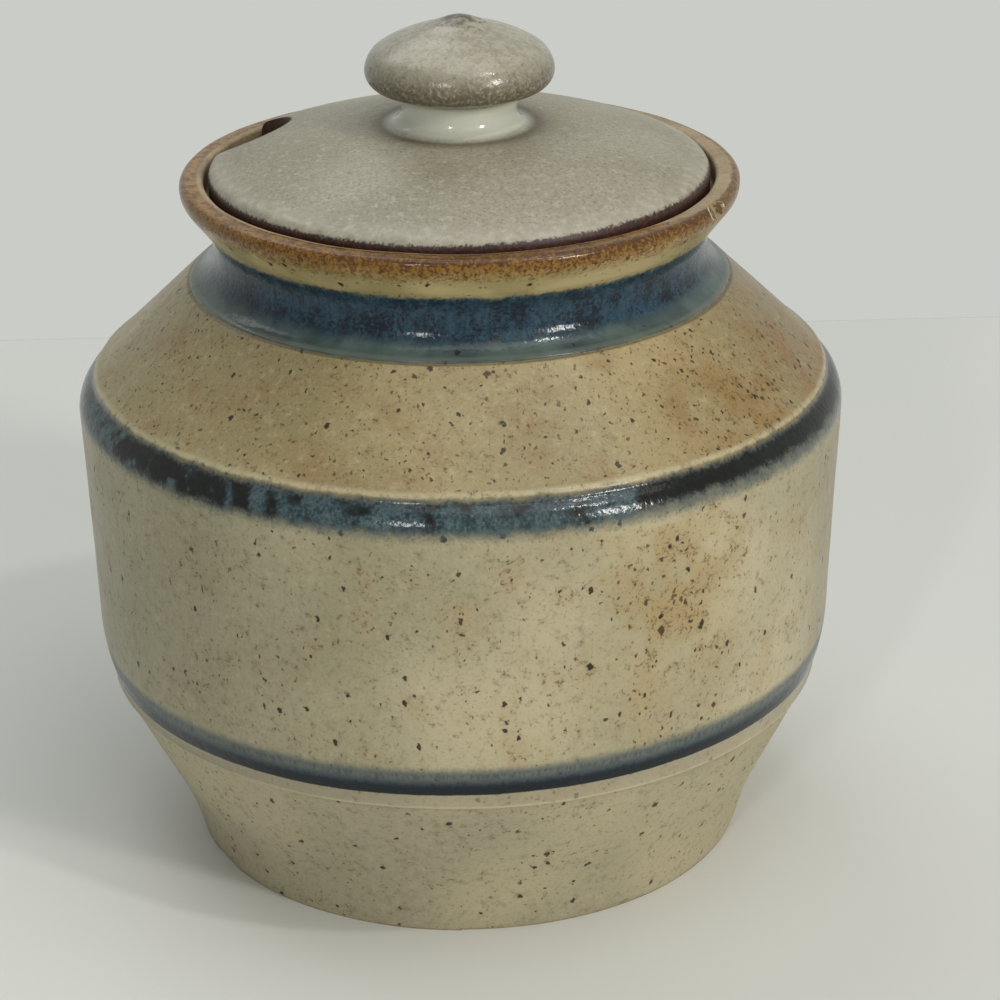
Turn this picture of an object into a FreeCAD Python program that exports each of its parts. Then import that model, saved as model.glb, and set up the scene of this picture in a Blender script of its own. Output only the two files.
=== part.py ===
"""Wheel-thrown stoneware honey pot with a loose lid, as a parametric FreeCAD document.

The pot stands on z = 0 with its axis on +Z. The lid drops into the gallery inside the rim and
only rests there. A scallop in the lid's edge leaves room for the handle of a honey dipper.
"""
import FreeCAD, Part
import math
import os
import Sketcher

# Driving sizes in millimetres and degrees: alias, value, what it measures.
SIZES = [
    ("foot_radius", 45.2, "radius of the face the pot stands on"),
    ("foot_height", 8.5, "height of the steep band trimmed round the foot"),
    ("foot_flare", 2.5, "how far the foot band widens to its top"),
    ("cone_rise", 21.0, "height of the cone between foot band and lower shoulder"),
    ("lower_turn", 6.0, "height over which the cone turns into the wall"),
    ("wall_rise", 40.6, "height of the nearly upright wall"),
    ("shoulder_rise", 17.3, "height of the sloping shoulder"),
    ("neck_rise", 6.4, "height from the incised line to the narrowest of the neck"),
    ("flare_rise", 4.2, "height of the curve from the neck into the rim's flare"),
    ("rim_rise", 6.2, "height from that curve to the top of the rim"),
    ("rim_face", 2.2, "height of the rim's outer face"),
    ("belly_radius", 61.2, "widest radius, at the shoulder"),
    ("wall_lean", 1.5, "how much narrower the foot of the wall is than its top"),
    ("cone_inset", 3.3, "how much narrower the top of the cone is than the belly"),
    ("neck_radius", 38.8, "radius of the narrowest of the neck"),
    ("collar_step", 4.3, "how much wider the incised line is than the neck"),
    ("flare_step", 1.8, "how much wider the start of the flare is than the neck"),
    ("rim_overhang", 4.8, "how far the rim stands out past the neck"),
    ("neck_low_curve", 6.8, "radius of the curve from the shoulder into the neck"),
    ("neck_high_curve", 5.8, "radius of the curve from the neck into the flare"),
    ("wall", 5.0, "thickness of the thrown wall"),
    ("floor", 6.5, "thickness of the floor"),
    ("rim_width", 3.6, "width of the flat top of the rim"),
    ("ledge_depth", 3.7, "depth of the gallery below the rim"),
    ("ledge_width", 4.8, "width of the gallery's ledge"),
    ("shoulder_round", 3.5, "rounding of the shoulder's outer edge"),
    ("turn_round", 12.0, "rounding of the lower shoulder"),
    ("rim_round", 1.1, "rounding of the rim's outer edges"),
    ("foot_round", 0.8, "rounding of the foot's edge"),
    ("hollow_round", 6.0, "rounding between floor and wall, inside"),
    ("chip_ball", 2.6, "radius of the bite that the rim chip is a cap of"),
    ("chip_depth", 0.9, "how deep the chip bites into the rim's edge"),
    ("chip_azimuth", -32.0, "direction of the chip, from +X towards +Y, in degrees"),
    ("lid_gap", 0.9, "free space round the lid, inside the rim"),
    ("lid_edge", 4.9, "thickness of the lid at its edge"),
    ("lid_rise", 6.6, "rise of the lid from its edge to the knob's foot"),
    ("seat_width", 3.1, "width of the flat ring that the lid rests on"),
    ("under_rise", 7.4, "height of the hollow under the lid"),
    ("lid_round", 1.0, "rounding of the lid's edges"),
    ("knob_foot", 11.2, "radius where the knob's foot meets the lid"),
    ("lid_curve", 85.0, "radius of the curve of the lid's crown"),
    ("knob_stem", 9.0, "radius of the stem under the knob"),
    ("stem_cove", 2.4, "radius of the cove at the foot of the stem"),
    ("cove_rise", 2.2, "height of that cove"),
    ("stem_rise", 2.2, "height of the straight stem"),
    ("knob_radius", 14.75, "widest radius of the knob"),
    ("knob_under", 1.3, "rise of the knob's flat underside"),
    ("knob_low", 2.8, "height from that underside to the knob's widest line"),
    ("knob_high", 3.2, "height from the widest line to the knob's upper turn"),
    ("knob_crown", 3.3, "height of the crown above that turn"),
    ("knob_tip", 2.1, "height of the pointed tip above the crown"),
    ("knob_turn", 2.15, "how far the two turns stand in from the widest line"),
    ("tip_radius", 6.0, "radius of the foot of the tip"),
    ("low_curve", 2.9, "radius of the curve below the knob's widest line"),
    ("high_curve", 3.5, "radius of the curve above it"),
    ("crown_curve", 15.0, "radius of the crown's curve"),
    ("notch_radius", 10.0, "radius of the scallop cut in the lid's edge"),
    ("notch_depth", 10.4, "how deep the scallop reaches in from the lid's edge"),
    ("notch_azimuth", 160.2, "direction of the scallop, from +X towards +Y, in degrees"),
]

# Heights on the pot, each stacked on the one below it.
FOOT_TOP = "Sizes.foot_height"
CONE_TOP = FOOT_TOP + " + Sizes.cone_rise"
WALL_FOOT = CONE_TOP + " + Sizes.lower_turn"
SHOULDER = WALL_FOOT + " + Sizes.wall_rise"
COLLAR = SHOULDER + " + Sizes.shoulder_rise"
NECK = COLLAR + " + Sizes.neck_rise"
FLARE = NECK + " + Sizes.flare_rise"
RIM_TOP = FLARE + " + Sizes.rim_rise"
LEDGE = RIM_TOP + " - Sizes.ledge_depth"

# Radii on the pot that follow from the sizes above.
CONE_RADIUS = "Sizes.belly_radius - Sizes.cone_inset"
WALL_FOOT_RADIUS = "Sizes.belly_radius - Sizes.wall_lean"
RIM_RADIUS = "Sizes.neck_radius + Sizes.rim_overhang"
RIM_BORE = RIM_RADIUS + " - Sizes.rim_width"
NECK_BORE = RIM_BORE + " - Sizes.ledge_width"
LID_RADIUS = RIM_BORE + " - Sizes.lid_gap"

# Heights on the lid, measured from the face that it rests on.
LID_TOP = "Sizes.lid_edge + Sizes.lid_rise"
STEM_FOOT = LID_TOP + " + Sizes.cove_rise"
STEM_TOP = STEM_FOOT + " + Sizes.stem_rise"
UNDERSIDE = STEM_TOP + " + Sizes.knob_under"
WIDEST = UNDERSIDE + " + Sizes.knob_low"
UPPER_TURN = WIDEST + " + Sizes.knob_high"
TIP_FOOT = UPPER_TURN + " + Sizes.knob_crown"
TIP = TIP_FOOT + " + Sizes.knob_tip"
KNOB_TURN_RADIUS = "Sizes.knob_radius - Sizes.knob_turn"

# Ways to join two corners of an outline, besides a straight line (None).
ABOUT_AXIS = "about the axis"
LEFT, RIGHT = 1, -1

ORIGIN, HORIZONTAL, VERTICAL = -1, -1, -2
START, END, CENTRE = 1, 2, 3


def add_sheet(doc):
    """Write the driving sizes into a sheet, one aliased cell each."""
    sheet = doc.addObject("Spreadsheet::Sheet", "Sizes")
    for row, (alias, value, meaning) in enumerate(SIZES, 1):
        sheet.set(f"A{row}", meaning)
        sheet.set(f"B{row}", str(value))
        sheet.setAlias(f"B{row}", alias)
    doc.recompute()
    return sheet


def add_sketch(body, name, role):
    """Attach an empty sketch to one of the body's own origin planes."""
    sketch = body.newObject("Sketcher::SketchObject", name)
    plane = next(item for item in body.Origin.OriginFeatures if item.Role == role)
    sketch.AttachmentSupport = [(plane, "")]
    sketch.MapMode = "FlatFace"
    return sketch


def arc_centre(start, end, radius, side):
    """Centre of the arc between two points, on the left or right of the way from start to end."""
    middle = (start + end) * 0.5
    chord = end - start
    across = FreeCAD.Vector(-chord.y, chord.x, 0).normalize()
    height = math.sqrt(max(radius ** 2 - (chord.Length / 2) ** 2, 0.0))
    return middle + across * (side * height)


def axis_centre(start, end):
    """Point of the sketch's vertical axis that is as far from start as from end."""
    rise = end.y - start.y
    return FreeCAD.Vector(0, (end.Length ** 2 - start.Length ** 2) / (2 * rise), 0)


def arc_between(start, end, centre):
    """Arc of less than a half turn, and whether it runs from start to end."""
    spoke_start = start - centre
    spoke_end = end - centre
    forward = spoke_start.cross(spoke_end).z > 0
    first, last = (spoke_start, spoke_end) if forward else (spoke_end, spoke_start)
    circle = Part.Circle(centre, FreeCAD.Vector(0, 0, 1), spoke_start.Length)
    angles = [math.atan2(spoke.y, spoke.x) for spoke in (first, last)]
    return Part.ArcOfCircle(circle, *angles), forward


def pin_point(sketch, edge, point, radius, height):
    """Hold one end of an edge at a radius and a height given by expressions."""
    for size, kind, axis in ((radius, "DistanceX", VERTICAL), (height, "DistanceY", HORIZONTAL)):
        value = float(sketch.evalExpression(size))
        if value == 0:
            sketch.addConstraint(Sketcher.Constraint("PointOnObject", edge, point, axis))
            continue
        index = sketch.addConstraint(Sketcher.Constraint(kind, ORIGIN, START, edge, point, value))
        sketch.setExpression(f"Constraints[{index}]", size)


def draw_outline(sketch, corners):
    """Close an outline through corners (radius, height, how the edge to the next one bends)."""
    points = []
    for radius, height, bend in corners:
        points.append(FreeCAD.Vector(*(float(sketch.evalExpression(e)) for e in (radius, height)), 0))
    ends = []
    for number, (radius, height, bend) in enumerate(corners):
        start = points[number]
        end = points[(number + 1) % len(points)]
        if bend is None:
            edge = sketch.addGeometry(Part.LineSegment(start, end), False)
            ends.append((edge, START, END))
            continue
        if bend == ABOUT_AXIS:
            centre = axis_centre(start, end)
        else:
            centre = arc_centre(start, end, float(sketch.evalExpression(bend[0])), bend[1])
        arc, forward = arc_between(start, end, centre)
        edge = sketch.addGeometry(arc, False)
        ends.append((edge, START, END) if forward else (edge, END, START))
        if bend == ABOUT_AXIS:
            sketch.addConstraint(Sketcher.Constraint("PointOnObject", edge, CENTRE, VERTICAL))
        else:
            size = Sketcher.Constraint("Radius", edge, arc.Radius)
            sketch.setExpression(f"Constraints[{sketch.addConstraint(size)}]", bend[0])
    for number, (edge, first, last) in enumerate(ends):
        after, after_first, after_last = ends[(number + 1) % len(ends)]
        sketch.addConstraint(Sketcher.Constraint("Coincident", edge, last, after, after_first))
        pin_point(sketch, edge, first, corners[number][0], corners[number][1])


def turn(body, kind, name, corners):
    """Turn an outline about +Z, as a PartDesign Revolution or Groove."""
    sketch = add_sketch(body, name + "Outline", "XZ_Plane")
    draw_outline(sketch, corners)
    feature = body.newObject("PartDesign::" + kind, name)
    feature.Profile = sketch
    feature.ReferenceAxis = (sketch, ["V_Axis"])
    feature.Angle = 360
    body.Document.recompute()
    return feature


def ring_edges(feature, *rings):
    """Names of the circular edges that lie at each (radius, height) given by expressions."""
    names = []
    for radius, height in rings:
        reach = float(feature.evalExpression(radius))
        level = float(feature.evalExpression(height))
        for number, edge in enumerate(feature.Shape.Edges, 1):
            if edge.Degenerated or not isinstance(edge.Curve, Part.Circle):
                continue
            at_level = abs(edge.Curve.Center.z - level) < 0.001
            if at_level and abs(edge.Curve.Radius - reach) < 0.001:
                names.append(f"Edge{number}")
    return names


def round_edges(body, name, size, *rings):
    """Fillet the circular edges at the given places."""
    base = body.Tip
    fillet = body.newObject("PartDesign::Fillet", name)
    fillet.Base = (base, ring_edges(base, *rings))
    fillet.setExpression("Radius", "Sizes." + size)
    body.Document.recompute()


def cut_chip(body):
    """Bite a small shell-shaped flake out of the rim's outer top edge."""
    ball = body.newObject("PartDesign::SubtractiveSphere", "RimChip")
    ball.setExpression("Radius", "Sizes.chip_ball")
    reach = f"({RIM_RADIUS} + Sizes.chip_ball - Sizes.chip_depth)"
    ball.setExpression("Placement.Base.x", f"{reach} * cos(Sizes.chip_azimuth * 1 deg)")
    ball.setExpression("Placement.Base.y", f"{reach} * sin(Sizes.chip_azimuth * 1 deg)")
    ball.setExpression("Placement.Base.z", f"{RIM_TOP} - Sizes.rim_round")
    body.Document.recompute()


def make_pot(doc):
    """Thrown pot: turned outside, hollowed inside, with a gallery for the lid under the rim."""
    body = doc.addObject("PartDesign::Body", "Pot")
    body.Label = "pot"
    foot_top_radius = "Sizes.foot_radius + Sizes.foot_flare"
    collar_radius = "Sizes.neck_radius + Sizes.collar_step"
    flare_radius = "Sizes.neck_radius + Sizes.flare_step"
    turn(body, "Revolution", "ThrownForm", [
        ("0", "0", None),
        ("Sizes.foot_radius", "0", None),
        (foot_top_radius, FOOT_TOP, None),
        (CONE_RADIUS, CONE_TOP, None),
        (WALL_FOOT_RADIUS, WALL_FOOT, None),
        ("Sizes.belly_radius", SHOULDER, None),
        (collar_radius, COLLAR, ("Sizes.neck_low_curve", RIGHT)),
        ("Sizes.neck_radius", NECK, ("Sizes.neck_high_curve", RIGHT)),
        (flare_radius, FLARE, None),
        (RIM_RADIUS, RIM_TOP + " - Sizes.rim_face", None),
        (RIM_RADIUS, RIM_TOP, None),
        ("0", RIM_TOP, None),
    ])
    slope_drop = "2 * Sizes.wall"
    turn(body, "Groove", "Hollow", [
        ("0", "Sizes.floor", None),
        (foot_top_radius + " - Sizes.wall", "Sizes.floor", None),
        (CONE_RADIUS + " - Sizes.wall", CONE_TOP, None),
        (WALL_FOOT_RADIUS + " - Sizes.wall", WALL_FOOT, None),
        ("Sizes.belly_radius - Sizes.wall", f"{SHOULDER} - 0.4 * Sizes.wall", None),
        (NECK_BORE, f"{COLLAR} + 0.2 * Sizes.wall", None),
        (NECK_BORE, LEDGE, None),
        (RIM_BORE, LEDGE, None),
        (RIM_BORE, RIM_TOP, None),
        ("0", RIM_TOP, None),
    ])
    round_edges(body, "ShoulderRound", "shoulder_round", ("Sizes.belly_radius", SHOULDER))
    round_edges(body, "TurnRound", "turn_round", (CONE_RADIUS, CONE_TOP))
    round_edges(body, "RimRound", "rim_round",
                (RIM_RADIUS, RIM_TOP), (RIM_RADIUS, RIM_TOP + " - Sizes.rim_face"))
    round_edges(body, "FootRound", "foot_round", ("Sizes.foot_radius", "0"))
    round_edges(body, "HollowRound", "hollow_round",
                (foot_top_radius + " - Sizes.wall", "Sizes.floor"))
    cut_chip(body)
    return body


def cut_notch(body):
    """Cut the scallop for a dipper's handle through the lid's edge."""
    sketch = add_sketch(body, "NotchOutline", "XY_Plane")
    reach = f"({LID_RADIUS} - Sizes.notch_depth + Sizes.notch_radius)"
    across = f"{reach} * cos(Sizes.notch_azimuth * 1 deg)"
    along = f"{reach} * sin(Sizes.notch_azimuth * 1 deg)"
    centre = FreeCAD.Vector(*(float(sketch.evalExpression(size)) for size in (across, along)), 0)
    radius = float(sketch.evalExpression("Sizes.notch_radius"))
    circle = sketch.addGeometry(Part.Circle(centre, FreeCAD.Vector(0, 0, 1), radius), False)
    bindings = [
        (Sketcher.Constraint("Radius", circle, radius), "Sizes.notch_radius"),
        (Sketcher.Constraint("DistanceX", ORIGIN, START, circle, CENTRE, centre.x), across),
        (Sketcher.Constraint("DistanceY", ORIGIN, START, circle, CENTRE, centre.y), along),
    ]
    for constraint, size in bindings:
        sketch.setExpression(f"Constraints[{sketch.addConstraint(constraint)}]", size)
    pocket = body.newObject("PartDesign::Pocket", "Notch")
    pocket.Profile = sketch
    pocket.Type = "ThroughAll"
    pocket.Reversed = True
    body.Document.recompute()


def make_lid(doc):
    """Thrown lid with its knob, one piece, modelled from the face that it rests on."""
    body = doc.addObject("PartDesign::Body", "Lid")
    body.Label = "lid"
    body.setExpression("Placement.Base.z", LEDGE)
    turn(body, "Revolution", "ThrownLid", [
        ("0", "Sizes.under_rise", ABOUT_AXIS),
        (LID_RADIUS + " - Sizes.seat_width", "0", None),
        (LID_RADIUS, "0", None),
        (LID_RADIUS, "Sizes.lid_edge", ("Sizes.lid_curve", LEFT)),
        ("Sizes.knob_foot", LID_TOP, ("Sizes.stem_cove", RIGHT)),
        ("Sizes.knob_stem", STEM_FOOT, None),
        ("Sizes.knob_stem", STEM_TOP, None),
        (KNOB_TURN_RADIUS, UNDERSIDE, ("Sizes.low_curve", LEFT)),
        ("Sizes.knob_radius", WIDEST, ("Sizes.high_curve", LEFT)),
        (KNOB_TURN_RADIUS, UPPER_TURN, ("Sizes.crown_curve", LEFT)),
        ("Sizes.tip_radius", TIP_FOOT, None),
        ("0", TIP, None),
    ])
    round_edges(body, "EdgeRound", "lid_round", (LID_RADIUS, "0"), (LID_RADIUS, "Sizes.lid_edge"))
    cut_notch(body)
    return body


def check(doc, bodies):
    """Stop if any object failed or any piece is not one valid solid."""
    for item in doc.Objects:
        if {"Invalid", "Error"} & set(item.State):
            raise RuntimeError(f"{item.Name} failed: {item.State}")
    for body in bodies:
        shape = body.Shape
        if shape.isNull() or not shape.isValid() or len(shape.Solids) != 1:
            raise RuntimeError(f"{body.Label} is not one valid solid")


def main():
    doc = FreeCAD.newDocument("HoneyPot")
    add_sheet(doc)
    bodies = [make_pot(doc), make_lid(doc)]
    doc.recompute()
    check(doc, bodies)
    os.makedirs("parts", exist_ok=True)
    for body in bodies:
        body.Shape.exportStep(f"parts/{body.Label}.step")


main()
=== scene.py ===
"""Looks of a wheel-thrown, salt-glazed stoneware honey pot with its lid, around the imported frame.

Sizes are written in millimetres and turned into metres where they are used. The pot's axis is +Z,
the front is -Y, and a height is measured from the face that the pot stands on.
"""
import math

import bpy
import numpy as np
from mathutils import Matrix, Vector


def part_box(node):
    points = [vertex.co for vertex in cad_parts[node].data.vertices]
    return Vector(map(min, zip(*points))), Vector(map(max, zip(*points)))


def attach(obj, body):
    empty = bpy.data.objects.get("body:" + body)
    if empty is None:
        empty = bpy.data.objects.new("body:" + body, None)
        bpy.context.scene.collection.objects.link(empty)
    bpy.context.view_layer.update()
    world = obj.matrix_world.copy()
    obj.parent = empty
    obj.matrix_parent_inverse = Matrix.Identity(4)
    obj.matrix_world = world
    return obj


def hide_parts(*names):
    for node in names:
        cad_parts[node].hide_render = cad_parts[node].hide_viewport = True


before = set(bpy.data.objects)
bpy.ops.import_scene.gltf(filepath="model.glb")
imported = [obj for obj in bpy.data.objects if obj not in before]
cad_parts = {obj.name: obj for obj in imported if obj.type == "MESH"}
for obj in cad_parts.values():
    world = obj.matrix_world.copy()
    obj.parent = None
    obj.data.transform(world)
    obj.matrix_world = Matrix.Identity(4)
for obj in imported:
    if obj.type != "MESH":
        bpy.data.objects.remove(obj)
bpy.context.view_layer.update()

MM = 0.001
TURNS = 216                      # facets round the wheel's axis
WELD = 0.004                     # points closer than this are one
CREASE = 35                      # degrees, past which an edge stays sharp
POT_LOW, POT_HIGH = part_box("pot")
LID_LOW, LID_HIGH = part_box("lid")
BELLY = POT_HIGH.x / MM - 0.25   # widest radius, less what the hand-made swells add
RIM = POT_HIGH.z / MM            # height of the rim's top
SEAT = LID_LOW.z / MM            # height of the gallery's ledge
TIP = LID_HIGH.z / MM            # height of the knob's tip

UNDERSIDE = 0.45                 # what is lower than this is pressed flat
FOOT_RADIUS = 45.2
TOOL_LINE = 28.8                 # height of the line where the trimmed cone starts
WALL_LOW, WALL_TOP = 35.2, 76.1  # the wall stands between these heights
RIDGE = 79.4                     # height of the ridge between wall and shoulder
INCISED = 93.9                   # height of the line cut at the foot of the neck
NECK_RADIUS = 38.8
NECK_LOW, NECK_TOP = 95.5, 102.3
RIM_RADIUS = 43.6
GALLERY_RADIUS = 40.0            # inside of the rim, over the ledge
STEM_LOW, STEM_TOP = 118.05, 122.5     # the coved stem under the knob
KNOB_RADIUS = 14.75

# The rim and the lid dried a little out of level and off centre, the foot only off centre.
TILT = 0.009                     # rise per length towards the back
TILT_FROM, TILT_TO = 92.0, 104.0
RIM_SHIFT = 0.25                 # sideways, to the right
KNOB_SHIFT = 0.25
FOOT_SHIFT = 0.4
FOOT_FROM, FOOT_TO = 4, 27

# Where the brush and the dip left their glazes.
BAND_LOW, BAND_TOP = 73.9, 78.9  # broad band under the ridge
LINE_LOW, LINE_TOP = 31.1, 36.9  # narrow band over the tool line
FLARE_LOW = 102.9                # top of the blue on the neck
BELT_LOW = 105.6                 # foot of the rusty belt round the rim

NOTCH_PLACE = (-36.3, 13.5)      # centre of the scallop in the lid
NOTCH_RADIUS = 9.3
CHIP_BALL = 4.0                  # radius of the bite that the rim's chip is a cap of
CHIP_CENTRE = (41.6, -20.8, 110.9)

LAMP_DISTANCE = 2.4              # metres, from every lamp to the pot's middle
LAMP_AIM = 0.07                  # metres, height of the point that they face


# ---------------------------------------------------------------- shaping

def alone(piece):
    """Leave one piece selected and active."""
    bpy.ops.object.select_all(action="DESELECT")
    piece.select_set(True)
    bpy.context.view_layer.objects.active = piece


def places(piece):
    """The piece's vertices as rows of x, y, z in millimetres."""
    rows = np.empty(len(piece.data.vertices) * 3)
    piece.data.vertices.foreach_get("co", rows)
    return rows.reshape(-1, 3) / MM


def pick(piece, wanted):
    """Enter edit mode with the wanted vertices selected, and what joins them."""
    bpy.ops.object.mode_set(mode="OBJECT")
    wanted = np.asarray(wanted, bool)
    piece.data.vertices.foreach_set("select", wanted)
    ends = np.empty(len(piece.data.edges) * 2, int)
    piece.data.edges.foreach_get("vertices", ends)
    piece.data.edges.foreach_set("select", wanted[ends].reshape(-1, 2).all(axis=1))
    piece.data.polygons.foreach_set("select", [False] * len(piece.data.polygons))
    bpy.ops.object.mode_set(mode="EDIT")
    bpy.ops.mesh.select_mode(type="VERT")


def draw(name, corners):
    """A wire through corners (radius, height, rounding, steps) in the plane y = 0."""
    bpy.ops.object.select_all(action="DESELECT")
    radius, height = corners[0][:2]
    bpy.ops.mesh.primitive_plane_add(size=MM)
    piece = bpy.context.object
    piece.name = piece.data.name = name
    bpy.ops.object.mode_set(mode="EDIT")
    bpy.ops.mesh.select_all(action="SELECT")
    bpy.ops.mesh.merge(type="CENTER")
    bpy.ops.transform.translate(value=(radius * MM, 0, height * MM))
    for corner in corners[1:]:
        step = Vector((corner[0] - radius, 0, corner[1] - height)) * MM
        bpy.ops.mesh.extrude_vertices_move(TRANSFORM_OT_translate={"value": step})
        radius, height = corner[:2]
    for corner in corners:
        if len(corner) == 2:
            continue
        bpy.ops.object.mode_set(mode="OBJECT")
        away = places(piece) - (corner[0], 0, corner[1])
        pick(piece, np.linalg.norm(away, axis=1) < 0.01)
        bpy.ops.mesh.bevel(offset=corner[2] * MM, segments=corner[3], affect="VERTICES",
                           clamp_overlap=False)
    return piece


def divide(piece, longest, inside):
    """Halve the wire's edges until none is longer than allowed, in the part that inside picks."""
    while True:
        bpy.ops.object.mode_set(mode="OBJECT")
        spots = places(piece)
        long_edges = []
        for edge in piece.data.edges:
            a, b = spots[edge.vertices[0]], spots[edge.vertices[1]]
            is_long = np.linalg.norm(a - b) > longest and inside((a + b) / 2)
            long_edges.append(bool(is_long))
        if not any(long_edges):
            return
        piece.data.vertices.foreach_set("select", [False] * len(spots))
        piece.data.edges.foreach_set("select", long_edges)
        bpy.ops.object.mode_set(mode="EDIT")
        bpy.ops.mesh.select_mode(type="EDGE")
        bpy.ops.mesh.subdivide(number_cuts=1)


def throw(piece):
    """Turn the wire once round the wheel's axis into a closed skin."""
    bpy.ops.object.mode_set(mode="EDIT")
    bpy.ops.mesh.select_mode(type="VERT")
    bpy.ops.mesh.select_all(action="SELECT")
    bpy.ops.mesh.spin(steps=TURNS, angle=2 * math.pi, center=(0, 0, 0), axis=(0, 0, 1))
    bpy.ops.mesh.select_all(action="SELECT")
    bpy.ops.mesh.remove_doubles(threshold=WELD * MM)
    bpy.ops.mesh.normals_make_consistent(inside=False)
    bpy.ops.object.mode_set(mode="OBJECT")


def lean(piece, low, high, steps, turn, shift):
    """Tip and shift everything above low, a little at each of several heights up to high."""
    for step in range(steps):
        bpy.ops.object.mode_set(mode="OBJECT")
        level = low + (high - low) * (step + 0.5) / steps
        pick(piece, places(piece)[:, 2] > level)
        bpy.ops.transform.rotate(value=-turn / steps, orient_axis="X",
                                 center_override=(0, 0, low * MM))
        bpy.ops.transform.translate(value=(shift * MM / steps, 0, 0))
    bpy.ops.object.mode_set(mode="OBJECT")


def apply(piece, kind, **settings):
    """Add a modifier and apply it."""
    alone(piece)
    modifier = piece.modifiers.new(kind.title(), kind)
    for setting, value in settings.items():
        setattr(modifier, setting, value)
    bpy.ops.object.modifier_apply(modifier=modifier.name)


def handle(piece, size, depth):
    """Soft hand-made unevenness: swells of one size, pushed in and out along the normals."""
    swell = bpy.data.textures.new("hand_swell", "CLOUDS")
    swell.noise_scale = size * MM
    swell.noise_depth = 1
    apply(piece, "DISPLACE", texture=swell, texture_coords="LOCAL", strength=depth * MM,
          mid_level=0.5)
    bpy.data.textures.remove(swell)


def cut(piece, cutter):
    """Take the cutter out of the piece and throw the cutter away."""
    apply(piece, "BOOLEAN", operation="DIFFERENCE", solver="EXACT", object=cutter)
    bpy.data.objects.remove(cutter)


def smooth(piece):
    alone(piece)
    bpy.ops.object.shade_smooth_by_angle(angle=math.radians(CREASE))


def throw_pot():
    """Foot, trimmed cone, wall, shoulder, neck, flared rim with a gallery, and the hollow."""
    throat, floor = SEAT - 12.1, 6.5                      # foot of the throat, floor of the hollow
    pot = draw("thrown_pot", [
        # foot and trimmed cone
        (0, 0), (30, 0), (FOOT_RADIUS, 0, 0.8, 4), (47.7, 8.5, 3.0, 5),
        # tool line
        (57.55, TOOL_LINE - 0.35), (57.95, TOOL_LINE - 0.1, 0.12, 2),
        (57.9, TOOL_LINE + 0.25, 0.12, 2), (57.95, TOOL_LINE + 0.9),
        # wall and ridge
        (59.6, WALL_LOW, 3.2, 6), (BELLY, WALL_TOP, 2.2, 8),
        (58.4, RIDGE - 1.15, 0.4, 3), (58.2, RIDGE, 0.7, 8), (56.65, RIDGE + 1.1, 0.5, 2),
        # shoulder and the incised line
        (43.22, INCISED - 0.6), (43.0, INCISED - 0.4, 0.08, 2), (42.5, INCISED - 0.2, 0.1, 2),
        (42.5, INCISED + 0.15, 0.15, 3), (41.8, INCISED + 0.4),
        # neck, flare and rim
        (NECK_RADIUS - 0.02, NECK_LOW, 3.3, 9), (NECK_RADIUS, NECK_TOP, 2.6, 7),
        (40.6, 104.0, 0.8, 3), (RIM_RADIUS, 107.9, 0.9, 4), (RIM_RADIUS, RIM, 1.0, 5),
        # gallery, throat and hollow
        (GALLERY_RADIUS, RIM, 0.5, 3), (GALLERY_RADIUS, SEAT, 0.5, 3), (35.2, SEAT, 1.2, 4),
        (35.2, throat, 6.0, 6), (56.2, 74.1, 4.0, 6), (54.7, 35.5), (52.9, 29.5),
        (42.7, floor, 5.5, 6), (0, floor),
    ])
    divide(pot, longest=1.25, inside=is_seen)
    divide(pot, longest=4.0, inside=lambda at: True)
    throw(pot)
    return pot


def is_seen(at):
    """Whether a point of the pot's outline can be seen, and so needs fine facets."""
    radius, height = at[0], at[2]
    outside = np.interp(
        height, [0, 8.5, 29.5, 35.5, WALL_TOP, 93.4, 99.8, 104, RIM],
        [FOOT_RADIUS, 47.7, 57.9, 59.7, BELLY, 43.1, NECK_RADIUS, 40.6, RIM_RADIUS])
    in_hollow = radius < outside - 2.5 and height < SEAT - 2
    return height > 1 and radius > 34 and not in_hollow


def throw_lid():
    """Lid with its seat, domed crown, coved stem and pinched knob."""
    lid = draw("thrown_lid", [
        (0, SEAT + 7.4), (18.75, SEAT + 7.4, 17.5, 12), (36.0, SEAT, 0.4, 2),
        (39.0, SEAT, 1.0, 4), (39.1, SEAT + 4.9, 1.3, 6), (25.7, 117.08, 13.0, 14),
        (9.0, STEM_LOW, 2.5, 8), (9.0, STEM_TOP, 0.7, 3), (12.3, 123.6),
        (KNOB_RADIUS, 124.25, 2.1, 7), (KNOB_RADIUS, 128.75, 2.3, 8), (9.7, 132.1, 3.2, 6),
        (6.0, 133.0, 1.4, 4), (1.6, 134.75, 0.9, 4), (0, TIP - 0.05),
    ])
    divide(lid, longest=1.0, inside=lambda at: (at[2] > SEAT + 3 and at[0] > 0.6
                                                and not (at[2] < 114.2 and at[0] < 38)))
    divide(lid, longest=3.0, inside=lambda at: True)
    throw(lid)
    return lid


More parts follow.
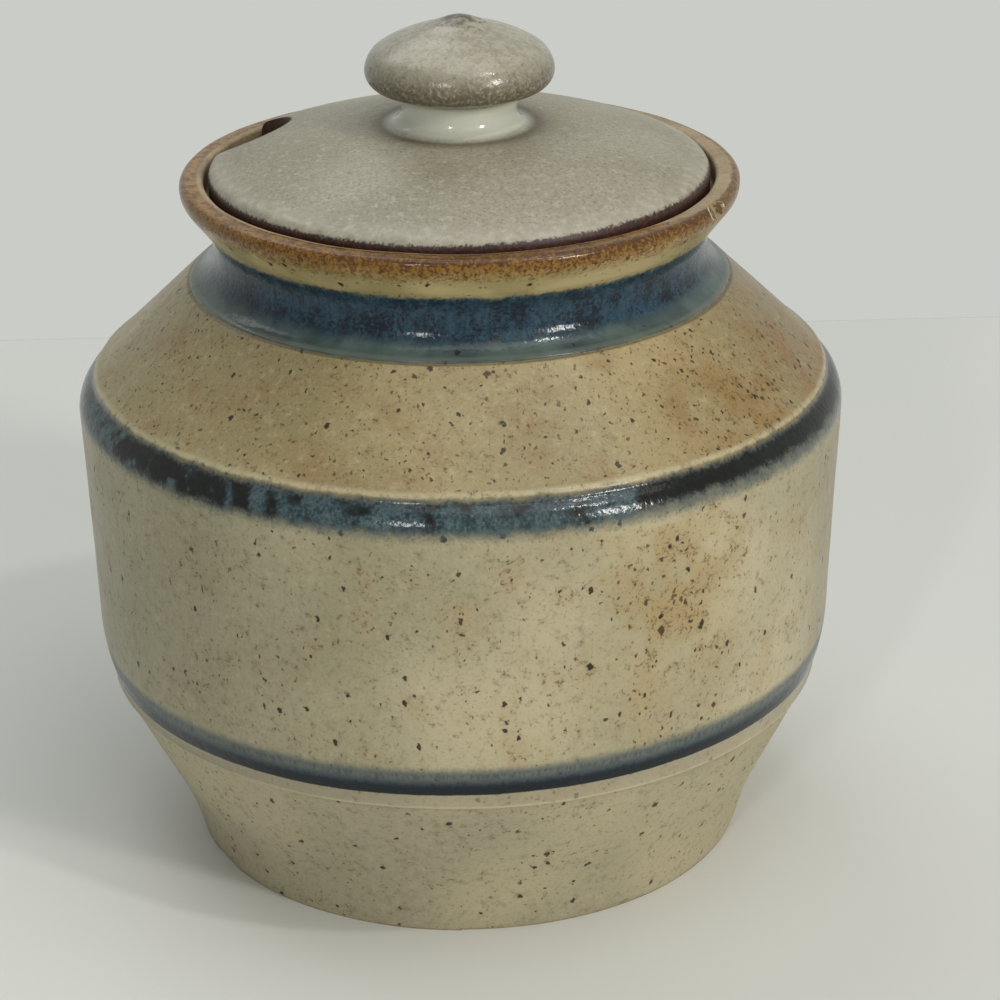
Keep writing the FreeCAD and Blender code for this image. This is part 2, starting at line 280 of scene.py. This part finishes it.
def make_pot():
    """Throw the pot, let it warp a little, chip its rim and flatten its foot."""
    pot = throw_pot()
    handle(pot, size=60, depth=0.4)
    handle(pot, size=12, depth=0.2)
    lean(pot, TILT_FROM, TILT_TO, steps=10, turn=TILT, shift=RIM_SHIFT)
    lean(pot, FOOT_FROM, FOOT_TO, steps=8, turn=0, shift=-FOOT_SHIFT)
    # All but the foot comes back to the axis, and the foot is left off it.
    alone(pot)
    bpy.ops.transform.translate(value=(FOOT_SHIFT * MM, 0, 0))
    bpy.ops.object.transform_apply(location=True)
    bpy.ops.object.select_all(action="DESELECT")
    bpy.ops.mesh.primitive_ico_sphere_add(subdivisions=4, radius=CHIP_BALL * MM,
                                          location=[MM * c for c in CHIP_CENTRE])
    bpy.ops.object.transform_apply(location=True)
    cut(pot, bpy.context.object)
    # The underside is pressed flat on the board.
    alone(pot)
    pick(pot, places(pot)[:, 2] < UNDERSIDE)
    bpy.ops.transform.resize(value=(1, 1, 0), center_override=(0, 0, 0))
    bpy.ops.object.mode_set(mode="OBJECT")
    smooth(pot)
    return pot


def make_lid():
    """Throw the lid, cut its notch and tip it with the rim."""
    lid = throw_lid()
    handle(lid, size=30, depth=0.3)
    bpy.ops.object.select_all(action="DESELECT")
    bpy.ops.mesh.primitive_cylinder_add(
        vertices=96, radius=NOTCH_RADIUS * MM, depth=30 * MM,
        location=(NOTCH_PLACE[0] * MM, NOTCH_PLACE[1] * MM, (SEAT + 5) * MM))
    bpy.ops.object.transform_apply(location=True)
    cut(lid, bpy.context.object)
    # The whole lid tips and shifts as the rim does, and then its knob a little more.
    alone(lid)
    pick(lid, places(lid)[:, 2] > 0)
    bpy.ops.transform.rotate(value=-TILT, orient_axis="X", center_override=(0, 0, TILT_FROM * MM))
    bpy.ops.transform.translate(value=(RIM_SHIFT * MM, 0, 0))
    lean(lid, STEM_LOW + 0.45, STEM_TOP, steps=4, turn=0, shift=KNOB_SHIFT)
    smooth(lid)
    return lid


# ---------------------------------------------------------------- glaze and clay

def srgb(red, green, blue):
    """A colour written 0 to 255 as a painter reads it, as linear light."""
    return tuple(((c / 255 + 0.055) / 1.055) ** 2.4 for c in (red, green, blue)) + (1.0,)


class Amount:
    """A number that varies over the surface. Python's operators add Math nodes to it."""

    def __init__(self, paint, socket):
        self.paint, self.socket = paint, socket

    def _math(self, operation, *terms):
        return self.paint.node("ShaderNodeMath", {"operation": operation}, dict(enumerate(terms)))

    def __add__(self, other):
        return self._math("ADD", self, other)

    def __radd__(self, other):
        return self._math("ADD", other, self)

    def __sub__(self, other):
        return self._math("SUBTRACT", self, other)

    def __rsub__(self, other):
        return self._math("SUBTRACT", other, self)

    def __mul__(self, other):
        return self._math("MULTIPLY", self, other)

    def __rmul__(self, other):
        return self._math("MULTIPLY", other, self)

    def __pow__(self, other):
        return self._math("POWER", self, other)

    def also(self, output):
        """Another output of the node that this number comes from."""
        return Amount(self.paint, self.socket.node.outputs[output])

    def larger(self, other):
        return self._math("MAXIMUM", self, other)


class Paint:
    """A material's nodes, on the object's own coordinates, with lengths in millimetres."""

    def __init__(self, name):
        self.material = bpy.data.materials.new(name)
        self.material.use_nodes = True
        self.tree = self.material.node_tree
        self.shader = self.tree.nodes["Principled BSDF"]
        metres = self.node("ShaderNodeTexCoord", {}, {}, "Object")
        self.place = self.node("ShaderNodeVectorMath", {"operation": "SCALE"},
                               {0: metres, "Scale": 1 / MM})
        self.x, self.y, self.z = (self.node("ShaderNodeSeparateXYZ", {}, {0: self.place}, axis)
                                  for axis in "XYZ")

    def node(self, kind, settings, inputs, output=0):
        """Add a node: its settings, then the values or links of its sockets; gives one output."""
        node = self.tree.nodes.new(kind)
        for setting, value in settings.items():
            setattr(node, setting, value)
        for socket, value in inputs.items():
            if isinstance(value, Amount):
                self.tree.links.new(value.socket, node.inputs[socket])
            else:
                node.inputs[socket].default_value = value
        return Amount(self, node.outputs[output])

    def mix(self, one, other, share):
        """One colour going over to another."""
        return self.node("ShaderNodeMix", {"data_type": "RGBA"}, {0: share, 6: one, 7: other}, 2)

    def rise(self, amount, low, high):
        """0 up to low, 1 from high on, eased between; low above high falls instead."""
        return self.node("ShaderNodeMapRange", {"interpolation_type": "SMOOTHSTEP"},
                         {0: amount, 1: low, 2: high, 3: 0.0, 4: 1.0})

    def band(self, amount, low, high, soft_low, soft_high):
        """1 between two levels, with an edge of its own softness at each."""
        return (self.rise(amount, low - soft_low, low + soft_low)
                * self.rise(amount, high + soft_high, high - soft_high))

    def bearing(self, x, y):
        """Degrees round the axis, from 0 at the right to -90 at the front."""
        turned = self.node("ShaderNodeMath", {"operation": "ARCTAN2"}, {0: y, 1: x})
        return turned * (180 / math.pi)

    def clouds(self, size, detail=3.0, roughness=0.5, up=None, offset=0.0):
        """Noise around 0.5 with swells of a size in millimetres, and another size upwards."""
        at = self.node("ShaderNodeMapping", {}, {
            0: self.place, "Scale": (1 / size, 1 / size, 1 / (up or size))})
        at = self.node("ShaderNodeVectorMath", {"operation": "ADD"}, {0: at, 1: (offset,) * 3})
        return self.node("ShaderNodeTexNoise", {"noise_dimensions": "3D"}, {
            "Vector": at, "Scale": 1.0, "Detail": detail, "Roughness": roughness})

    def wavy(self, size, amount):
        """Coordinates pushed about by noise, so that what follows them gets ragged edges."""
        push = self.node("ShaderNodeTexNoise", {"noise_dimensions": "3D"}, {
            "Vector": self.place, "Scale": 1 / size, "Detail": 1.0}, "Color")
        push = self.node("ShaderNodeVectorMath", {"operation": "SUBTRACT"},
                         {0: push, 1: (0.5,) * 3})
        return self.node("ShaderNodeVectorMath", {"operation": "MULTIPLY_ADD"},
                         {0: push, 1: (2 * amount,) * 3, 2: self.place})

    def specks(self, place, cell, share, size, soft=0.12):
        """Specks of up to a size in millimetres: how much of one is here, and a number of its own.

        A cell holds one speck at most, and about that share of the cells hold one."""
        near = self.node("ShaderNodeTexVoronoi", {"feature": "F1"}, {
            "Vector": place, "Scale": 1 / cell, "Randomness": 1.0}, "Distance")
        lots = self.node("ShaderNodeSeparateColor", {}, {0: near.also("Color")}, "Red")
        reach = (share - lots) * (size / cell)
        return self.rise(reach - near, -soft / cell, soft / cell), lots.also("Green")

    def finish(self, color, roughness, relief=None, shine=0.5):
        """Join colour, roughness and a relief in millimetres to the shader."""
        self.shader.inputs["Specular IOR Level"].default_value = shine
        for socket, value in (("Base Color", color), ("Roughness", roughness)):
            if isinstance(value, Amount):
                self.tree.links.new(value.socket, self.shader.inputs[socket])
            else:
                self.shader.inputs[socket].default_value = value
        if relief is not None:
            bump = self.node("ShaderNodeBump", {}, {"Strength": 1.0, "Distance": MM,
                                                   "Height": relief})
            self.tree.links.new(bump.socket, self.shader.inputs["Normal"])
        return self.material


def pot_glaze():
    """Tan salt glaze with iron specks, cobalt bands, a golden rim belt and bare clay."""
    paint = Paint("pot_glaze")
    x, y, z = paint.x, paint.y, paint.z
    level = z - y * TILT                                  # height in the tipped rim's own frame
    radius = (x * x + y * y) ** 0.5
    side = paint.bearing(x, y)
    ragged = paint.clouds(2.2, 2.0, 0.65) - 0.5
    streak = paint.clouds(0.5, 2.0, 0.6, up=2.2) - 0.5    # fine crystals that run down
    drift = paint.clouds(28, 1.0, 0.5)
    patch = paint.clouds(8, 2.0, 0.6, offset=7.3)
    grain = paint.clouds(0.5, 2.0, 0.7)
    blots = paint.clouds(3.6, 2.0, 0.62, offset=2.7)
    cloudy = paint.clouds(1.7, 2.0, 0.68, offset=17.0)

    # The tan ground: greyer on the wall, browner on the shoulder, matt grey on the trimmed cone.
    wall = paint.mix(srgb(164, 156, 126), srgb(190, 180, 148), paint.rise(drift, 0.3, 0.7))
    wall = paint.mix(wall, srgb(172, 154, 118), paint.rise(patch, 0.48, 0.72) * 0.6)
    left_painted_shade = paint.band(side, -176, -112, 4, 22)           # painted shade on the left side, away from the lamps, greener in tone
    right_painted_shade = paint.band(side, -22, 60, 14, 40)            # and painted shade on the far right side, browner in tone
    wall = paint.mix(wall, srgb(138, 135, 108), left_painted_shade * 0.62)
    wall = paint.mix(wall, srgb(138, 126, 94), right_painted_shade * 0.8)
    slope = paint.mix(srgb(145, 132, 94), srgb(168, 152, 112), paint.rise(drift, 0.32, 0.68))
    slope = paint.mix(slope, srgb(128, 119, 84), left_painted_shade * 0.6)
    slope = paint.mix(slope, srgb(124, 106, 70), right_painted_shade * 0.7)
    slope = paint.mix(slope, srgb(136, 110, 72), paint.rise(patch, 0.48, 0.72) * 0.6)
    ground = paint.mix(wall, slope, paint.rise(z, 74, 80))
    cone = paint.mix(srgb(166, 158, 132), srgb(182, 172, 142), paint.rise(drift, 0.35, 0.65))
    on_cone = paint.rise(z + ragged * 0.3, TOOL_LINE + 0.1, TOOL_LINE - 0.3)
    ground = paint.mix(ground, cone, on_cone)
    ground = paint.mix(ground, srgb(122, 110, 78), paint.rise(cloudy, 0.5, 0.74) * 0.36)
    ground = paint.mix(ground, srgb(196, 188, 158), paint.rise(cloudy, 0.46, 0.26) * 0.22)
    ground = paint.mix(ground, srgb(108, 96, 68), paint.rise(grain, 0.52, 0.8) * 0.5)
    ground = paint.mix(ground, srgb(196, 188, 160), paint.rise(grain, 0.45, 0.25) * 0.25)

    # Amber flashing where the salt was thick, on the right of the shoulder and the wall.
    amber = (paint.band(side, -50, 0, 16, 14) * paint.band(z + ragged * 5, 78, 91, 1.5, 6)
             * paint.rise(patch + drift, 0.7, 1.05))
    column = (paint.band(side, -68, -48, 8, 7) * paint.band(z + ragged * 6, 46, 73, 10, 1.5)
              * paint.rise(patch, 0.3, 0.62))
    ground = paint.mix(ground, srgb(134, 104, 56), amber * 0.62)
    ground = paint.mix(ground, srgb(166, 140, 88), column * 0.55)

    # Iron specks, from fine brown to a few large and black, more of them in the amber.
    richer = amber.larger(column)
    drifts = paint.rise(z, 74, 79).larger(richer).larger(paint.rise(patch, 0.42, 0.66))
    drifts = drifts - on_cone * 0.2
    place = paint.node("ShaderNodeVectorMath", {"operation": "MULTIPLY"},
                       {0: paint.wavy(0.8, 0.55), 1: (1, 1, 0.75)})   # a little longer than wide
    fine_share = 0.28 + drifts * 0.26 + richer * 0.15
    fine, fine_tone = paint.specks(place, 0.85, fine_share, 0.55, soft=0.08)
    large, large_tone = paint.specks(place, 2.1, 0.42 + richer * 0.1, 1.2, soft=0.1)
    freckle = paint.rise(grain + cloudy * 0.7 + drifts * 0.05 + richer * 0.08, 1.02, 1.14)
    ground = paint.mix(ground, srgb(104, 82, 46), freckle * 0.62)
    iron = paint.mix(srgb(98, 70, 38), srgb(30, 21, 12), paint.rise(fine_tone, 0.45, 0.8))
    ground = paint.mix(ground, iron, fine * 0.92)
    iron = paint.mix(srgb(70, 47, 25), srgb(18, 12, 7), paint.rise(large_tone, 0.2, 0.45))
    speckled = paint.mix(ground, iron, large * 0.92)

    # Cobalt bands, brushed on: soft above, blotted with black, thin and grey at their edges.
    edge = ragged * 1.2 + (grain - 0.5)
    tilted = z - x * 0.012
    wide = paint.rise(side, -70, -58) * 0.9
    upper = paint.band(z + edge, BAND_LOW, BAND_TOP, 1.2, 0.6)
    upper_core = (paint.rise(z + edge * 1.5 - wide, BAND_LOW + 0.2, BAND_LOW + 1.7)
                  * paint.rise(z + edge, BAND_TOP, BAND_TOP - 1.0))
    dark_side = (paint.rise(side, -68, -58) * 0.4).larger(
        paint.band(side, -152, -120, 8, 8) * 0.22)
    lower_foot = paint.rise(tilted + ragged * 0.25, LINE_LOW, LINE_LOW + 0.3)
    lower = lower_foot * paint.rise(tilted + streak * 1.4 + ragged * 0.6,
                                    LINE_TOP, LINE_TOP - 1.9)
    lower_core = lower_foot * paint.rise(tilted + streak * 1.6 + ragged * 0.6,
                                         LINE_TOP - 2.3, LINE_TOP - 4.0)
    neck = (paint.rise(level + ragged * 0.3, INCISED + 0.1, INCISED + 0.3)
            * paint.rise(level + ragged * 1.6 + streak * 0.6, FLARE_LOW + 1.0, FLARE_LOW - 0.4))
    neck_core = paint.band(level + ragged * 1.6 + streak * 1.2,
                           NECK_LOW + 0.4, FLARE_LOW, 1.0, 0.6)

    flecks = paint.rise(grain * 0.8 + blots * 0.8 + streak * 0.6, 0.6, 1.1)
    washed = paint.mix(srgb(92, 98, 92), srgb(64, 80, 84), paint.rise(blots, 0.35, 0.6))
    cobalt = paint.mix(srgb(28, 46, 54), srgb(80, 100, 104), flecks)
    cobalt = paint.mix(cobalt, srgb(18, 32, 42),
                       paint.rise(z + ragged * 1.5, BAND_TOP - 2.7, BAND_TOP - 0.7) * 0.25)
    black = paint.mix(srgb(3, 3, 2), srgb(20, 25, 25), flecks)
    thick = paint.mix(cobalt, black, paint.rise(blots - dark_side, 0.47, 0.31))
    banded = paint.mix(speckled, washed, upper * 0.85)
    banded = paint.mix(banded, thick, upper_core * 0.98)
    veil = paint.mix(srgb(88, 99, 98), srgb(52, 69, 78), paint.rise(streak, -0.1, 0.14))
    banded = paint.mix(banded, veil, lower * 0.88)
    inky = paint.mix(srgb(38, 56, 70), srgb(6, 18, 28),
                     paint.rise(tilted + streak, LINE_TOP - 3.1, LINE_TOP - 4.5))
    banded = paint.mix(banded, inky, lower_core * 0.95)
    pool = paint.mix(srgb(78, 98, 96), srgb(54, 74, 78), paint.rise(patch, 0.35, 0.65))
    banded = paint.mix(banded, pool, neck * 0.95)
    deep = paint.mix(srgb(16, 38, 54), srgb(46, 76, 95), flecks)
    deep = paint.mix(deep, srgb(3, 16, 32), paint.rise(blots + grain, 0.98, 0.82)
                     * paint.band(level, NECK_LOW + 1.0, FLARE_LOW - 1.7, 0.8, 1.0))
    banded = paint.mix(banded, deep, neck_core * 0.95)
    specked = paint.mix(banded, srgb(20, 18, 14), large * neck * 0.7)

    # Lines along the edges: a painted highlight on the tool line, the pale strip over it, the ridge
    # where the glaze breaks pale under a painted highlight, painted shade in the incised groove and
    # a painted highlight on the lip above it.
    tool = paint.band(z + ragged * 0.15, TOOL_LINE - 0.3, TOOL_LINE + 0.1, 0.1, 0.1)
    groove_painted_shade = paint.band(z, INCISED - 0.42, INCISED - 0.05, 0.1, 0.1)
    lip = paint.band(z, INCISED + 0.12, INCISED + 0.42, 0.1, 0.15)
    ridge = paint.band(z + ragged * 0.5, RIDGE - 0.25, RIDGE + 0.35, 0.2, 0.3)
    strip = paint.band(tilted + ragged * 0.2, TOOL_LINE - 0.4, LINE_LOW + 0.1, 0.15, 0.1)
    lined = paint.mix(specked, srgb(160, 150, 130),
                      strip * 0.55 * paint.rise(z, TOOL_LINE, TOOL_LINE + 0.3))
    # a broken painted highlight along the tool line
    lined = paint.mix(lined, srgb(186, 178, 152),
                      tool * paint.rise(patch + cloudy, 0.75, 1.0) * 0.85)
    # the ridge's glaze breaking pale, with a painted highlight along it
    lined = paint.mix(lined, srgb(190, 182, 150),
                      ridge * paint.rise(grain + ragged, 0.1, 0.6) * 0.7)
    # painted shade in the incised groove
    lined = paint.mix(lined, srgb(72, 68, 52), groove_painted_shade * 0.6)
    # painted highlight on the lip above the groove
    lined = paint.mix(lined, srgb(118, 122, 110), lip * 0.5)

    # The flare is olive tan under a belt of golden brown that gathered below the rim.
    flare = paint.rise(level + ragged * 0.8 + streak * 0.4, FLARE_LOW, FLARE_LOW + 1.0)
    tan = paint.mix(srgb(168, 154, 108), srgb(196, 180, 134), paint.rise(patch + drift, 0.8, 1.2))
    tan = paint.mix(tan, srgb(58, 42, 22), large.larger(fine * 0.6))
    lined = paint.mix(lined, tan, flare)
    mottle = (cloudy + grain) * 0.5
    belt = paint.rise(level + (mottle - 0.5) * 5.0, BELT_LOW, BELT_LOW + 3.2)
    crust = mottle + grain + paint.rise(level, 108.4, 110.4) * (
        0.08 + paint.band(side, -120, -20, 20, 30) * 0.16)
    rust = paint.mix(srgb(132, 92, 20), srgb(74, 36, 0), paint.rise(crust, 0.9, 1.24))
    lined = paint.mix(lined, rust, belt * 0.95)

    # Bare clay: the rim's flat top, the gallery and the foot.
    worn = -0.4 + 3.0 * paint.band(side, -42, 70, 14, 20)  # how far out the top is wiped bare
    on_top = paint.rise(level, RIM - 0.3, RIM - 0.08)
    flat = on_top * paint.rise(radius + ragged * 1.2 - worn,
                               GALLERY_RADIUS + 0.3, GALLERY_RADIUS - 0.2)
    browned = paint.mix(srgb(150, 116, 58), srgb(106, 66, 20),
                        paint.rise(mottle + cloudy, 0.9, 1.15))
    lined = paint.mix(lined, browned,
                      on_top * paint.rise(radius + ragged, RIM_RADIUS - 0.6, RIM_RADIUS - 1.4)
                      * (0.75 - paint.band(side, -140, -55, 20, 15) * 0.45))
    gallery = (paint.rise(level, SEAT - 1.6, SEAT - 0.6)
               * paint.rise(radius, GALLERY_RADIUS + 0.9, GALLERY_RADIUS + 0.5))
    clay = paint.mix(srgb(144, 128, 100), srgb(170, 153, 125), paint.rise(patch + grain, 0.8, 1.2))
    clay = paint.mix(clay, srgb(112, 88, 58), paint.rise(mottle, 0.5, 0.68) * 0.5)
    bare = flat.larger(gallery).larger(paint.rise(z, 0.35, 0.15))
    lined = paint.mix(lined, clay, bare)

    # The flake missing from the rim's edge: bare inside, pale where the glaze broke.
    off = paint.node("ShaderNodeVectorMath", {"operation": "DISTANCE"},
                     {0: paint.place, 1: CHIP_CENTRE}, "Value") + ragged * 0.2
    chipped = paint.rise(off, CHIP_BALL + 0.2, CHIP_BALL)
    scar = paint.mix(srgb(146, 130, 92), srgb(92, 70, 42), paint.rise(cloudy + grain, 0.9, 1.15))
    lined = paint.mix(lined, scar, chipped)
    lined = paint.mix(lined, srgb(216, 208, 182),
                      chipped * paint.rise(side + ragged * 2.4, -28.2, -28.9))

    shiny = upper.larger(neck).larger(lower_core)
    matt = on_cone * 0.28 + bare * 0.4
    roughness = 0.32 - shiny * 0.16 - belt * 0.12 + matt + (patch - 0.5) * 0.2 * (1 - shiny)
    peel = paint.clouds(1.3, 2.0, 0.66) * 0.08            # the fine pits of salt glaze
    return paint.finish(lined, roughness, peel, shine=0.3)


def lid_glaze():
    """Pale grey satin glaze, frosted towards the edge, over red-brown clay at the lip; on the right
    the dark lip also carries painted shade of the gap under the lid.
    """
    paint = Paint("lid_glaze")
    x, y, z = paint.x - RIM_SHIFT, paint.y, paint.z
    level = z - y * TILT
    radius = (x * x + y * y) ** 0.5
    ragged = paint.clouds(0.8, 2.0, 0.7) - 0.5
    drift = paint.clouds(22, 1.0, 0.5)
    grain = paint.clouds(0.5, 2.0, 0.7)
    frost = paint.clouds(1.6, 2.0, 0.7, offset=4.0)

    ground = paint.mix(srgb(135, 131, 110), srgb(153, 149, 130), paint.rise(drift, 0.32, 0.68))
    ground = paint.mix(ground, srgb(184, 181, 164), paint.rise(frost, 0.5, 0.72) * 0.4)
    ground = paint.mix(ground, srgb(186, 182, 166), paint.rise(grain, 0.46, 0.26) * 0.4)
    ground = paint.mix(ground, srgb(96, 84, 64), paint.rise(grain, 0.5, 0.74) * 0.66)
    outer = paint.rise(radius + ragged * 2.0, 34.5, 38.4)
    ground = paint.mix(ground, srgb(186, 180, 166),
                       outer * paint.rise(frost + grain, 0.8, 1.1) * 0.42)

    knob = paint.rise(level, STEM_TOP - 0.2, STEM_TOP + 0.7)
    crown = paint.mix(srgb(165, 161, 143), srgb(148, 143, 125), paint.rise(frost, 0.4, 0.65))
    crown = paint.mix(crown, srgb(110, 98, 78), paint.rise(grain + ragged * 0.5, 0.54, 0.74) * 0.6)
    under = paint.rise(level + (frost - 0.5) * 4.0, 130.2, 126.0)
    crown = paint.mix(crown, srgb(90, 79, 58), under * paint.rise(grain + ragged, 0.1, 0.6) * 0.85)
    tip = paint.rise(level + (frost - 0.5) * 3.0 + ragged * 1.5, 133.5, 134.9)
    crown = paint.mix(crown, srgb(66, 44, 26), tip * 0.82)
    ground = paint.mix(ground, crown, knob)
    cove = (paint.band(level, STEM_LOW - 0.05, STEM_TOP - 0.1, 0.5, 0.4)
            * paint.rise(radius, 12.4, 11.2))
    broke = paint.band(radius + ragged * 2, 11.3, 13.2, 0.6, 1.6) * paint.rise(level, 121, 119)
    ground = paint.mix(ground, srgb(104, 90, 66),
                       broke * paint.rise(frost + drift, 0.6, 0.9) * 0.95)
    ground = paint.mix(ground, srgb(224, 227, 211), cove * 0.86)
    fine = paint.specks(paint.wavy(0.55, 0.28), 1.4, 0.3, 0.6, soft=0.08)[0]
    ground = paint.mix(ground, srgb(90, 70, 50), fine * 0.55 * (1 - cove))

    away = ((x + (RIM_SHIFT - NOTCH_PLACE[0])) ** 2.0 + (y - NOTCH_PLACE[1]) ** 2.0) ** 0.5
    side = paint.bearing(x, y)
    # on the front-right and right the dark lip reaches 0.4 mm higher: painted shade of the gap
    # between lid and rim over the bare clay
    bare_lip_and_gap_shade_from = SEAT + 4.35 + paint.band(side, -75, 70, 30, 30) * 0.4
    lip = paint.rise(level + (grain - 0.5) * 1.1 + ragged * 0.6 - bare_lip_and_gap_shade_from, 0.25, -0.25)
    lip = lip * paint.rise(radius, 37.0, 37.6)
    lip = lip.larger(paint.rise(away + ragged * 0.6, NOTCH_RADIUS + 0.7, NOTCH_RADIUS + 0.2))
    lip = lip.larger(paint.rise(level, 110.9, 110.3))
    clay = paint.mix(srgb(34, 12, 6), srgb(80, 38, 22), paint.rise(grain, 0.42, 0.7))
    clay = paint.mix(clay, srgb(140, 98, 72), paint.rise(level, SEAT + 0.9, SEAT + 0.3))
    ground = paint.mix(ground, clay, lip)
    roughness = 0.44 - cove * 0.32 - knob * 0.22 + lip * 0.04 + (frost - 0.5) * 0.12
    relief = paint.clouds(1.1, 2.0, 0.68) * (0.045 + knob * 0.05) * (1 - cove * 0.9)
    return paint.finish(ground, roughness, relief)


# ---------------------------------------------------------------- the piece on its table

def dress(piece, material, node):
    """Glaze a finished piece and put it in the CAD node's place."""
    piece.data.materials.clear()
    piece.data.materials.append(material)
    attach(piece, "root")
    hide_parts(node)


def plain(name, color, roughness):
    """A matt colour with a very faint drift in it."""
    paint = Paint(name)
    tone = paint.mix(color, tuple(c * 0.97 for c in color[:3]) + (1.0,), paint.clouds(60, 1.0))
    return paint.finish(tone, roughness)


def lay_table():
    """A pale table that ends behind the pot, with a rounded far edge."""
    bpy.ops.object.select_all(action="DESELECT")
    wide, deep, thick, back_edge = 6, 3, 0.04, 0.234
    bpy.ops.mesh.primitive_cube_add(size=1, location=(0, back_edge - deep / 2, -thick / 2),
                                    scale=(wide, deep, thick))
    table = bpy.context.object
    table.name = table.data.name = "table"
    bpy.ops.transform.rotate(value=-math.radians(2.3), orient_axis="Z",
                             center_override=(0.006, 0.23, 0))
    bpy.ops.object.transform_apply(location=True, rotation=True, scale=True)
    apply(table, "BEVEL", width=0.004, segments=3)
    table.data.materials.append(plain("table_top", srgb(218, 220, 215), roughness=0.6))


def hang_lamp(name, azimuth, height, width, tall, watts, color):
    """A soft rectangular lamp that faces the pot, like a window; azimuth and height in degrees."""
    a, e = math.radians(azimuth), math.radians(height)
    away = Vector((math.cos(a) * math.cos(e), math.sin(a) * math.cos(e), math.sin(e)))
    data = bpy.data.lights.new(name, "AREA")
    data.shape, data.size, data.size_y = "RECTANGLE", width, tall
    data.energy, data.color = watts, color
    lamp = bpy.data.objects.new(name, data)
    bpy.context.scene.collection.objects.link(lamp)
    lamp.location = away * LAMP_DISTANCE + Vector((0, 0, LAMP_AIM))
    lamp.rotation_euler = away.to_track_quat("Z", "Y").to_euler()


def light_world():
    """A dim even glow in the room, in front of a pale wall that is seen and mirrored."""
    world = bpy.data.worlds.new("room")
    bpy.context.scene.world = world
    world.use_nodes = True
    nodes, links = world.node_tree.nodes, world.node_tree.links
    glow = nodes["Background"]
    glow.inputs["Color"].default_value = (0.94, 0.97, 1.0, 1)
    glow.inputs["Strength"].default_value = 0.17
    seen = nodes.new("ShaderNodeBackground")
    seen.inputs["Color"].default_value = srgb(202, 204, 199)
    path = nodes.new("ShaderNodeLightPath")
    choose = nodes.new("ShaderNodeMixShader")
    share = path.outputs["Is Camera Ray"]
    for kind in ("Is Glossy Ray", "Is Transmission Ray"):
        either = nodes.new("ShaderNodeMath")
        either.operation, either.use_clamp = "ADD", True
        links.new(share, either.inputs[0])
        links.new(path.outputs[kind], either.inputs[1])
        share = either.outputs[0]
    links.new(share, choose.inputs[0])
    links.new(glow.outputs[0], choose.inputs[1])
    links.new(seen.outputs[0], choose.inputs[2])
    links.new(choose.outputs[0], nodes["World Output"].inputs[0])


def set_camera():
    """A long lens in front of the pot, looking down at it."""
    place = Vector((6.047, -450.83, 247.39)) * MM
    pitch, roll = math.radians(23.229), math.radians(-0.578)
    ahead = Vector((0, math.cos(pitch), -math.sin(pitch)))
    right, up = Vector((1, 0, 0)), Vector((0, math.sin(pitch), math.cos(pitch)))
    across = right * math.cos(roll) + up * math.sin(roll)
    upward = up * math.cos(roll) - right * math.sin(roll)
    data = bpy.data.cameras.new("camera")
    data.sensor_width, data.lens = 36, 108
    camera = bpy.data.objects.new("camera", data)
    bpy.context.scene.collection.objects.link(camera)
    turn = Matrix((across, upward, -ahead)).transposed().to_4x4()
    camera.matrix_world = Matrix.Translation(place) @ turn
    bpy.context.scene.camera = camera


set_camera()
lay_table()
light_world()
hang_lamp("ceiling", -45, 76, 2.0, 2.0, 21.0, (1.0, 0.99, 0.96))
hang_lamp("bright_wall", 125, 55, 1.6, 1.6, 12.0, (0.97, 0.99, 1.0))
hang_lamp("spotlight", -40, 53, 0.12, 0.12, 7.0, (1.0, 0.97, 0.92))
hang_lamp("open_room", -62, 30, 1.2, 1.2, 3.0, (1.0, 0.98, 0.94))
hang_lamp("right_window", -43, 24, 0.24, 0.50, 18.0, (1.0, 0.96, 0.90))
hang_lamp("left_window", -107, 24, 0.12, 0.40, 7.5, (1.0, 0.98, 0.95))
dress(make_pot(), pot_glaze(), "pot")
dress(make_lid(), lid_glaze(), "lid")

view = bpy.context.scene.view_settings
view.view_transform = "Standard"
